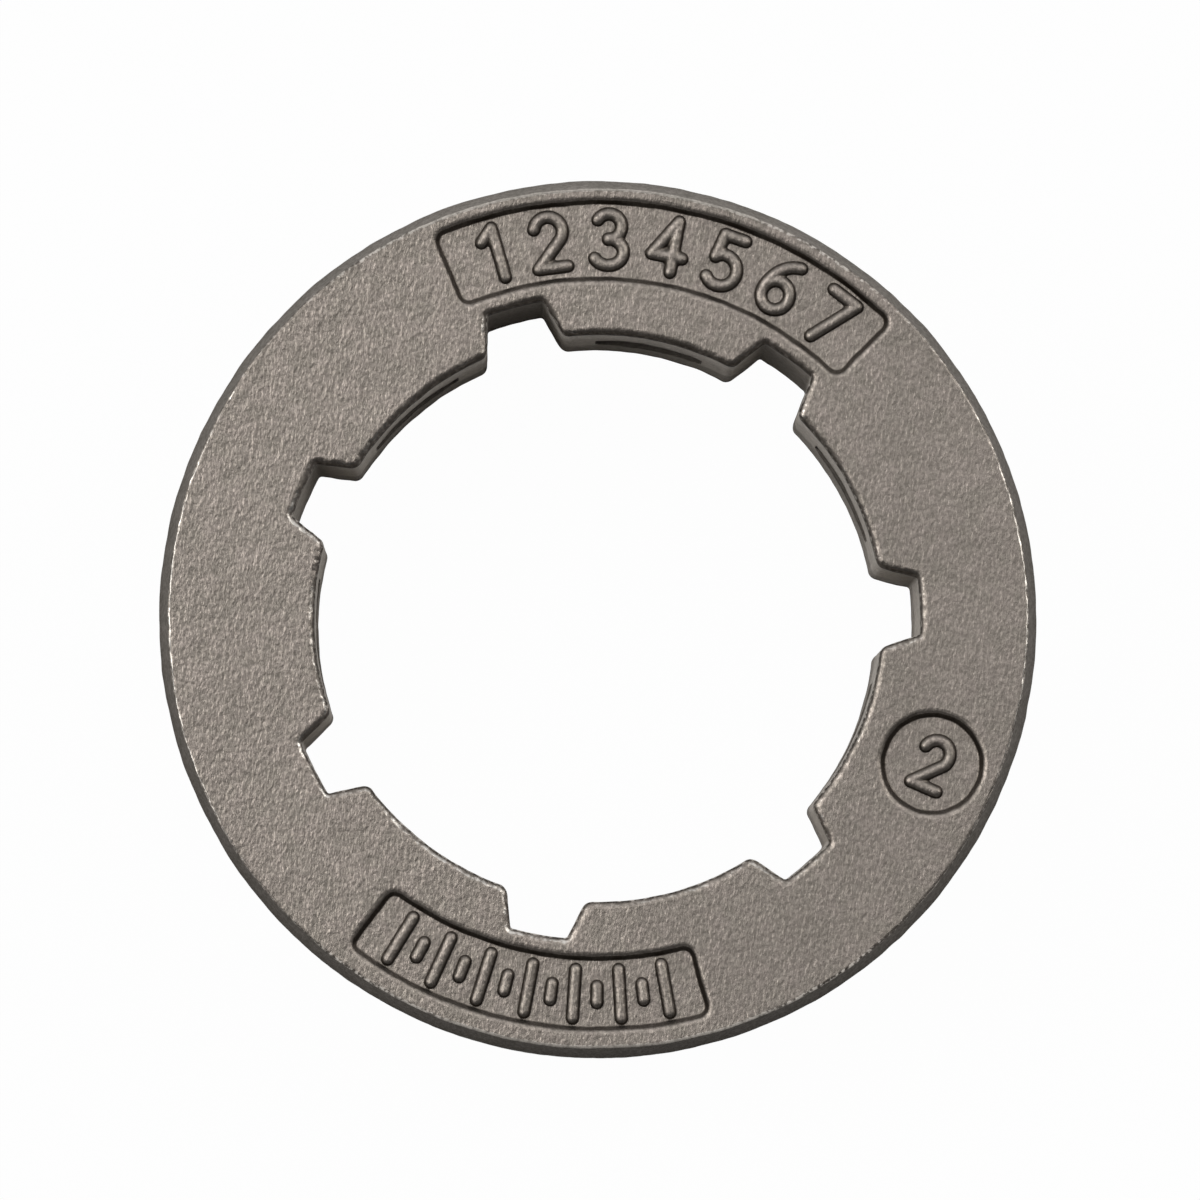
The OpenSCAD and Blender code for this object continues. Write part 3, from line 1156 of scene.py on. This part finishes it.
def wire_rubbing_and_highlight(graph, given):
    """Edges rubbed bright in patches, with painted highlights: a mask from the wear and painted highlight
    at each place.
    """
    patches = graph.noise(given["Place"], RUB_RATE, detail=3.0)
    broken = graph.math("ADD", patches, graph.math("MULTIPLY", given["Speckle"], RUB_GRAIN))
    # Full wear leaves no gaps, less of it leaves bright patches, and none of it nothing
    left = graph.math("SUBTRACT", graph.math("ADD", broken, given["Wear And Highlight"]), 1.0)
    return {"Mask": graph.fit(left, RUB_STARTS, RUB_FULL)}


def wire_tone(graph, given):
    """A casting's tone: blasted faces, cast skin, edges rubbed bright with painted highlights, and painted
    shade in corners and on walls.
    """
    speckle = given["Speckle"]
    push = graph.fit(speckle, 0.0, 1.0, -SKIN_RAGGED / 2, SKIN_RAGGED / 2)
    skin = graph.fit(graph.math("ADD", given["Skin"], push), SKIN_STARTS, SKIN_FULL)
    plain = graph.mix(skin, given["Face Colour"], given["Skin Colour"])
    clouds = graph.noise(given["Place"], CLOUD_RATE, detail=5.0, roughness=0.7)
    mottles = graph.noise(given["Place"], MOTTLE_RATE, detail=2.0, roughness=0.6)
    cloudy = graph.fit(clouds, NOISE_LOW, NOISE_HIGH, 1 - CLOUD_SWING, 1 + CLOUD_SWING)
    mottled = graph.fit(mottles, NOISE_LOW, NOISE_HIGH, 1 - MOTTLE_SWING, 1 + MOTTLE_SWING)
    speckled = graph.fit(speckle, 0.0, 1.0, SPECKLE_DARK, SPECKLE_BRIGHT)
    value = graph.math("MULTIPLY", graph.math("MULTIPLY", cloudy, mottled), speckled)
    hue = graph.fit(mottles, NOISE_LOW, NOISE_HIGH, 0.5 + MOTTLE_HUE, 0.5 - MOTTLE_HUE)
    varied_tone = {"Color": plain, "Hue": hue, "Value": value}
    varied = graph.add("ShaderNodeHueSaturation", varied_tone).outputs[0]
    # Rubbed edges, with their painted highlights, mixed towards the brighter burnish
    rubbed_and_highlit = graph.mix(given["Rubbed And Highlit"], varied, given["Burnish And Highlight Colour"])
    # Painted shade, mixed in where the vertices carry it
    painted_shade_share = graph.math("MULTIPLY", given["Painted Shade"], PAINTED_SHADE_COVER)
    uneven = graph.fit(speckle, 0.0, 1.0, ROUGHNESS_SWING, -ROUGHNESS_SWING)
    polished = graph.math("MULTIPLY", given["Rubbed And Highlit"], RUB_POLISH)
    smoother = graph.math("SUBTRACT", graph.math("ADD", given["Roughness"], uneven), polished)
    covered = graph.math("MULTIPLY", skin, graph.math("SUBTRACT", 1.0, given["Rubbed And Highlit"]))
    rougher = graph.math("MULTIPLY", covered, SKIN_ROUGHNESS)
    return {
        "Colour": graph.mix(painted_shade_share, rubbed_and_highlit, given["Painted Shade Colour"]),
        "Roughness": graph.math("ADD", smoother, rougher, clamp=True),
        "Metallic": graph.math("SUBTRACT", 1.0, covered),
    }


def opaque(shade):
    """A colour with full cover."""
    return (*shade, 1.0)


def new_material(name):
    """An empty material and the graph of its nodes."""
    material = bpy.data.materials.new(name)
    material.use_nodes = True
    material.node_tree.nodes.clear()
    return material, Graph(material.node_tree)


def blasted_steel(finish):
    """Blasted cast steel, rubbed bright at its edges with painted highlights, and dark in its corners with
    painted shade.
    """
    name = "blasted_steel"
    if name in bpy.data.materials:
        return bpy.data.materials[name]
    material, graph = new_material(name)
    place = graph.add("ShaderNodeTexCoord").outputs["Object"]
    # The vertices' wear with painted highlight, their painted shade and their cast skin
    wear, grime, skin = [
        graph.add("ShaderNodeAttribute", attribute_name=layer).outputs["Fac"]
        for layer in ("wear", "grime", "skin")
    ]
    grain = graph.group("Blast Grain", wire_grain, {
        "Place": (VECTOR, place),
        "Grain": (VALUE, finish.grain),
        "Deep Side": (VECTOR, (*polar(finish.grain_at), 0)),
        "Fall": (VALUE, finish.grain_fall),
    }, {"Height": VALUE, "Speckle": VALUE})
    rubbed_and_highlit = graph.group("Rubbed And Highlit Edge", wire_rubbing_and_highlight, {
        "Place": (VECTOR, place),
        "Wear And Highlight": (VALUE, wear),
        "Speckle": (VALUE, grain["Speckle"]),
    }, {"Mask": VALUE})
    tone = graph.group("Cast Tone", wire_tone, {
        "Place": (VECTOR, place),
        "Skin": (VALUE, skin),
        "Speckle": (VALUE, grain["Speckle"]),
        "Rubbed And Highlit": (VALUE, rubbed_and_highlit["Mask"]),
        "Painted Shade": (VALUE, grime),
        "Face Colour": (COLOUR, opaque(finish.face_colour)),
        "Skin Colour": (COLOUR, opaque(finish.skin_colour)),
        "Burnish And Highlight Colour": (COLOUR, opaque(finish.burnish_and_highlight_colour)),
        "Painted Shade Colour": (COLOUR, opaque(finish.grime_colour)),
        "Roughness": (VALUE, finish.roughness),
    }, {"Colour": COLOUR, "Roughness": VALUE, "Metallic": VALUE})
    smoothed = graph.math("MULTIPLY", rubbed_and_highlit["Mask"], RUB_SMOOTH)
    bump = graph.add("ShaderNodeBump", {
        "Strength": graph.math("SUBTRACT", 1.0, smoothed),
        "Distance": finish.grain_depth,
        "Height": grain["Height"],
    })
    shader = graph.add("ShaderNodeBsdfPrincipled", {
        "Base Color": tone["Colour"],
        "Roughness": tone["Roughness"],
        "Metallic": tone["Metallic"],
        "Specular IOR Level": SKIN_SHINE,
        "Normal": bump.outputs[0],
    })
    graph.add("ShaderNodeOutputMaterial", {"Surface": shader.outputs[0]})
    return material


def pale_floor(studio):
    """A pale floor that shows as white where it is lit and keeps its shadows."""
    material, graph = new_material("pale_floor")
    ray = graph.add("ShaderNodeLightPath").outputs
    white = graph.add("ShaderNodeEmission", {"Color": opaque((1, 1, 1))})
    paper = graph.add("ShaderNodeBsdfDiffuse", {"Color": opaque(studio.floor_colour)})
    both = graph.add("ShaderNodeMixShader", {
        0: graph.math("MULTIPLY", ray["Is Camera Ray"], studio.floor_white),
        1: paper.outputs[0],
        2: white.outputs[0],
    })
    graph.add("ShaderNodeOutputMaterial", {"Surface": both.outputs[0]})
    return material


# The studio

# How far forward from overhead the sky starts to dim, and where it is dark
SHADE_STARTS = -0.15
SHADE_FULL = 0.5
# How far to either side of overhead the sky's slant reaches
SLANT_REACH = 0.45
# Heights between which the low sky turns into the bright one overhead
CAP_STARTS = 0.35
CAP_FULL = 0.8
# How far back or forward the low light there starts, and where it is full
BACK_STARTS = 0.2
BACK_FULL = 0.8
# Heights between which the low light in front gives way to the dark
FRONT_FULL = 0.12
FRONT_ENDS = 0.42
# Where the two lamps stand: to the right, up the picture and over the part
KEY_WAY = (-0.77, 0.16, 1.15)
SIDE_WAY = (0.85, 0.35, 0.9)
# Width of the camera's sensor in millimetres, and the distances in metres between which it sees
SENSOR_W = 36
CLIP_NEAR = 0.01
CLIP_FAR = 10


def picture_axes(studio):
    """The directions on the part that point right and up in the picture."""
    up = polar(studio.picture_up)
    return Vector((up.y, -up.x, 0)), Vector((up.x, up.y, 0))


def add_floor(studio):
    """The floor that the part lies on."""
    bm = bmesh.new()
    bmesh.ops.create_grid(bm, x_segments=1, y_segments=1, size=studio.floor_w / 2)
    mesh = bpy.data.meshes.new("studio_floor")
    bm.to_mesh(mesh)
    bm.free()
    mesh.materials.append(pale_floor(studio))
    floor = bpy.data.objects.new("studio_floor", mesh)
    bpy.context.scene.collection.objects.link(floor)


def add_lamp(name, studio, toward, size, power, middle):
    """A soft square lamp that faces the part."""
    lamp = bpy.data.lights.new(name, "AREA")
    lamp.size = size
    lamp.energy = power
    holder = bpy.data.objects.new(name, lamp)
    right, up = picture_axes(studio)
    way = (right * toward[0] + up * toward[1] + OVER * toward[2]).normalized()
    holder.location = middle + way * studio.lamp_distance
    holder.rotation_mode = "QUATERNION"
    holder.rotation_quaternion = way.to_track_quat("Z", "Y")
    bpy.context.scene.collection.objects.link(holder)


def add_sky(studio):
    """Soft light from overhead, fuller at the upper left, with the room dark in front of the part."""
    right, up = picture_axes(studio)
    world = bpy.data.worlds.new("soft_room")
    world.use_nodes = True
    world.node_tree.nodes.clear()
    graph = Graph(world.node_tree)
    way = graph.add("ShaderNodeTexCoord").outputs["Generated"]
    high = graph.fit(graph.dot(way, OVER), FRONT_FULL, FRONT_ENDS)
    dim = graph.math("MULTIPLY", graph.fit(graph.dot(way, -up), SHADE_STARTS, SHADE_FULL), high)
    tone = graph.mix(dim, opaque(studio.sky_colour), opaque(studio.shade_colour))
    full = 1 + studio.sky_slant
    spare = 1 - studio.sky_slant
    spare_side = right * math.cos(studio.sky_turn) - up * math.sin(studio.sky_turn)
    slant = graph.fit(graph.dot(way, spare_side), -SLANT_REACH, SLANT_REACH, full, spare)
    cap = graph.fit(graph.dot(way, OVER), CAP_STARTS, CAP_FULL)
    evened = graph.math("ADD", studio.sky_low, graph.math("MULTIPLY", cap, -studio.sky_low))
    behind = graph.fit(graph.dot(way, up), BACK_STARTS, BACK_FULL, 0.0, studio.sky_back)
    ahead = graph.fit(graph.dot(way, -up), BACK_STARTS, BACK_FULL, 0.0, studio.sky_front)
    overhead = graph.math("ADD", graph.math("MULTIPLY", cap, slant), evened)
    strength = graph.math("ADD", overhead, graph.math("ADD", behind, ahead))
    light = graph.add("ShaderNodeBackground", {"Color": tone, "Strength": strength})
    graph.add("ShaderNodeOutputWorld", {"Surface": light.outputs[0]})
    bpy.context.scene.world = world


def add_camera(studio, middle):
    """The camera, almost straight above the marked face."""
    right, up = picture_axes(studio)
    lens = bpy.data.cameras.new("camera")
    lens.lens = studio.lens
    lens.sensor_width = SENSOR_W
    lens.clip_start = CLIP_NEAR
    lens.clip_end = CLIP_FAR
    camera = bpy.data.objects.new("camera", lens)
    tilt = OVER - up * math.tan(studio.lean) - right * math.tan(studio.lean_left)
    camera.location = middle + tilt.normalized() * studio.distance
    aim = middle + up * studio.aim_up + right * studio.aim_right
    back = (camera.location - aim).normalized()
    side = up.cross(back).normalized()
    axes = Matrix((side, back.cross(side), back)).transposed()
    camera.rotation_mode = "QUATERNION"
    camera.rotation_quaternion = axes.to_quaternion()
    bpy.context.scene.collection.objects.link(camera)
    bpy.context.scene.camera = camera


# Operators

class SprocketStep:
    """What the steps share: each builds its pieces from the scene's settings."""

    def execute(self, context):
        settings = context.scene.sprocket
        self.build(settings, Layout(settings))
        return {"FINISHED"}


class SPROCKET_OT_casting(SprocketStep, bpy.types.Operator):
    """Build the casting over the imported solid"""

    bl_idname = "sprocket.casting"
    bl_label = "Casting"

    def build(self, settings, layout):
        skin = build_casting(settings, layout)
        loose = [edge for edge in skin.bm.edges if not edge.is_manifold]
        if loose:
            raise RuntimeError(f"the casting's skin is open at {len(loose)} edges")
        ease_rim(skin, settings.finish, layout)
        darken_bore(skin, settings.finish, settings.bore, layout)
        paint_mouth_highlight(skin, settings.finish, settings.bore)
        ease_recesses(skin, settings.finish, layout)
        wander(skin, settings.finish, layout)
        mesh = bpy.data.meshes.new("rim_casting")
        skin.bm.to_mesh(mesh)
        skin.bm.free()
        piece = add_piece("rim_casting", mesh, blasted_steel(settings.finish))
        mesh.set_sharp_from_angle(angle=SHARP_ANGLE)
        even = piece.modifiers.new("Even shading", "WEIGHTED_NORMAL")
        even.keep_sharp = True
        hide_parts(CAD_NODE)


class SPROCKET_OT_numbers(SprocketStep, bpy.types.Operator):
    """Raise a row of plain numbers in the long panel, one for each tooth"""

    bl_idname = "sprocket.numbers"
    bl_label = "Tooth numbers"

    def build(self, settings, layout):
        recess = settings.recess
        marks = settings.marks
        row_r = layout.row_r(recess.long_rim)
        strokes = []
        for i, number in enumerate(NUMERALS):
            at = recess.long_at - (i - (len(NUMERALS) - 1) / 2) * marks.number_step
            strokes += placed(NUMERALS[number], polar(at, row_r), marks.number_h, at)
        add_marks("tooth_numbers", strokes, settings, layout)


class SPROCKET_OT_ticks(SprocketStep, bpy.types.Operator):
    """Raise a row of ticks in the short panel, a long one for each spline"""

    bl_idname = "sprocket.ticks"
    bl_label = "Spline ticks"

    def build(self, settings, layout):
        recess = settings.recess
        marks = settings.marks
        row_r = layout.row_r(recess.short_rim)
        count = 2 * settings.bore.count - 1
        strokes = []
        for i in range(count):
            at = recess.short_at + (i - (count - 1) / 2) * marks.tick_step / 2
            height = marks.tick_h if i % 2 == 0 else marks.tick_h * SHORT_TICK
            strokes += placed(TICK, polar(at, row_r), height, at)
        add_marks("spline_ticks", strokes, settings, layout)


class SPROCKET_OT_mould_number(SprocketStep, bpy.types.Operator):
    """Raise a plain mould number in the round recess"""

    bl_idname = "sprocket.mould_number"
    bl_label = "Mould number"

    def build(self, settings, layout):
        middle = mark_spot(settings.recess, layout)
        strokes = placed(NUMERALS[MOULD], middle, settings.marks.mould_h, angle_of(middle) + QUARTER)
        add_marks("mould_number", strokes, settings, layout)


class SPROCKET_OT_studio(SprocketStep, bpy.types.Operator):
    """Set up the floor, the light and the camera"""

    bl_idname = "sprocket.studio"
    bl_label = "Studio"

    def build(self, settings, layout):
        studio = settings.studio
        middle = OVER * layout.top
        add_floor(studio)
        add_sky(studio)
        add_lamp("key_lamp", studio, KEY_WAY, studio.key_w, studio.key_power, middle)
        add_lamp("side_lamp", studio, SIDE_WAY, studio.side_w, studio.side_power, middle)
        add_camera(studio, middle)
        bpy.context.scene.view_settings.view_transform = "Standard"


class SPROCKET_PT_sidebar(bpy.types.Panel):
    """Lists the steps that build the sprocket"""

    bl_idname = "SPROCKET_PT_sidebar"
    bl_label = "Rim Sprocket"
    bl_space_type = "VIEW_3D"
    bl_region_type = "UI"
    bl_category = "Sprocket"

    def draw(self, context):
        for step in STEPS:
            self.layout.operator(step.bl_idname)


STEPS = (
    SPROCKET_OT_casting,
    SPROCKET_OT_numbers,
    SPROCKET_OT_ticks,
    SPROCKET_OT_mould_number,
    SPROCKET_OT_studio,
)
GROUPS = (
    RimSizes,
    GrooveSizes,
    BoreSizes,
    RecessSizes,
    MarkSizes,
    CastFinish,
    StudioSettings,
    SprocketSettings,
)
CLASSES = (*GROUPS, *STEPS, SPROCKET_PT_sidebar)


def register():
    """Makes the settings, the steps and the sidebar known."""
    for kind in CLASSES:
        bpy.utils.register_class(kind)
    bpy.types.Scene.sprocket = PointerProperty(type=SprocketSettings)


def unregister():
    """Takes them away again."""
    del bpy.types.Scene.sprocket
    for kind in reversed(CLASSES):
        bpy.utils.unregister_class(kind)


def main():
    """Builds the sprocket and its studio."""
    register()
    bpy.ops.sprocket.casting()
    bpy.ops.sprocket.numbers()
    bpy.ops.sprocket.ticks()
    bpy.ops.sprocket.mould_number()
    bpy.ops.sprocket.studio()


if __name__ == "__main__":
    main()
